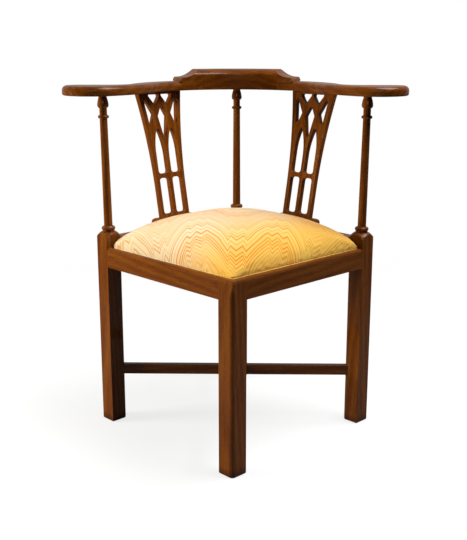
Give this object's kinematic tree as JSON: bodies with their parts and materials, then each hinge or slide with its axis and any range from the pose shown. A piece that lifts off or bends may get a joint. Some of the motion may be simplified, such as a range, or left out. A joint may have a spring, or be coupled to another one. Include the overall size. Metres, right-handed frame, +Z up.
{
  "type": "corner chair",
  "caption": "Wooden corner chair with a horseshoe arm rail on turned columns, pierced splats, square legs, crossed stretchers and an upholstered drop-in seat.",
  "frame": {"origin": "on the floor under the middle of the square seat frame, which is also the middle of the chair's outline in plan", "axes": "+Z up, -Y towards the front leg, which the sitter's knees straddle, +X towards the chair's right side as seen from the front"},
  "size_m": [0.729, 0.5996, 0.767],
  "materials": {
    "mahogany": "satin lacquer over a mahogany stain",
    "plain_wood": "bare hardwood",
    "screw_steel": "zinc-plated steel",
    "tack_steel": "blued steel",
    "webbing": "woven jute webbing",
    "stuffing": "soft stuffing",
    "seat_fabric": "woven flame-stitch fabric in cream, yellow and orange",
    "bottom_cloth": "thin black cloth"
  },
  "bodies": {
    "chair": {"front_leg": "mahogany", "left_leg": "mahogany", "right_leg": "mahogany", "back_leg": "mahogany", "left_column": "mahogany", "right_column": "mahogany", "back_column": "mahogany", "front_left_rail": "mahogany", "front_right_rail": "mahogany", "rear_left_rail": "mahogany", "rear_right_rail": "mahogany", "left_shoe": "mahogany", "right_shoe": "mahogany", "left_splat": "mahogany", "right_splat": "mahogany", "left_arm": "mahogany", "right_arm": "mahogany", "crest_rail": "mahogany", "side_stretcher": "mahogany", "front_back_stretcher": "mahogany", "front_corner_block": "plain_wood", "left_corner_block": "plain_wood", "right_corner_block": "plain_wood", "back_corner_block": "plain_wood", "corner_block_screws": "screw_steel", "crest_screws": "screw_steel"},
    "seat": {"seat_front_left_member": "plain_wood", "seat_front_right_member": "plain_wood", "seat_rear_left_member": "plain_wood", "seat_rear_right_member": "plain_wood", "seat_webbing": "webbing", "seat_pad": "stuffing", "seat_cover": "seat_fabric", "seat_bottom_cloth": "bottom_cloth", "webbing_tacks": "tack_steel", "bottom_cloth_tacks": "tack_steel"}
  },
  "joints": [
    {"name": "seat_lift", "type": "slide", "parent": "chair", "child": "seat", "axis": [0, 0, 1], "range_m": [0, 0.12]}
  ]
}
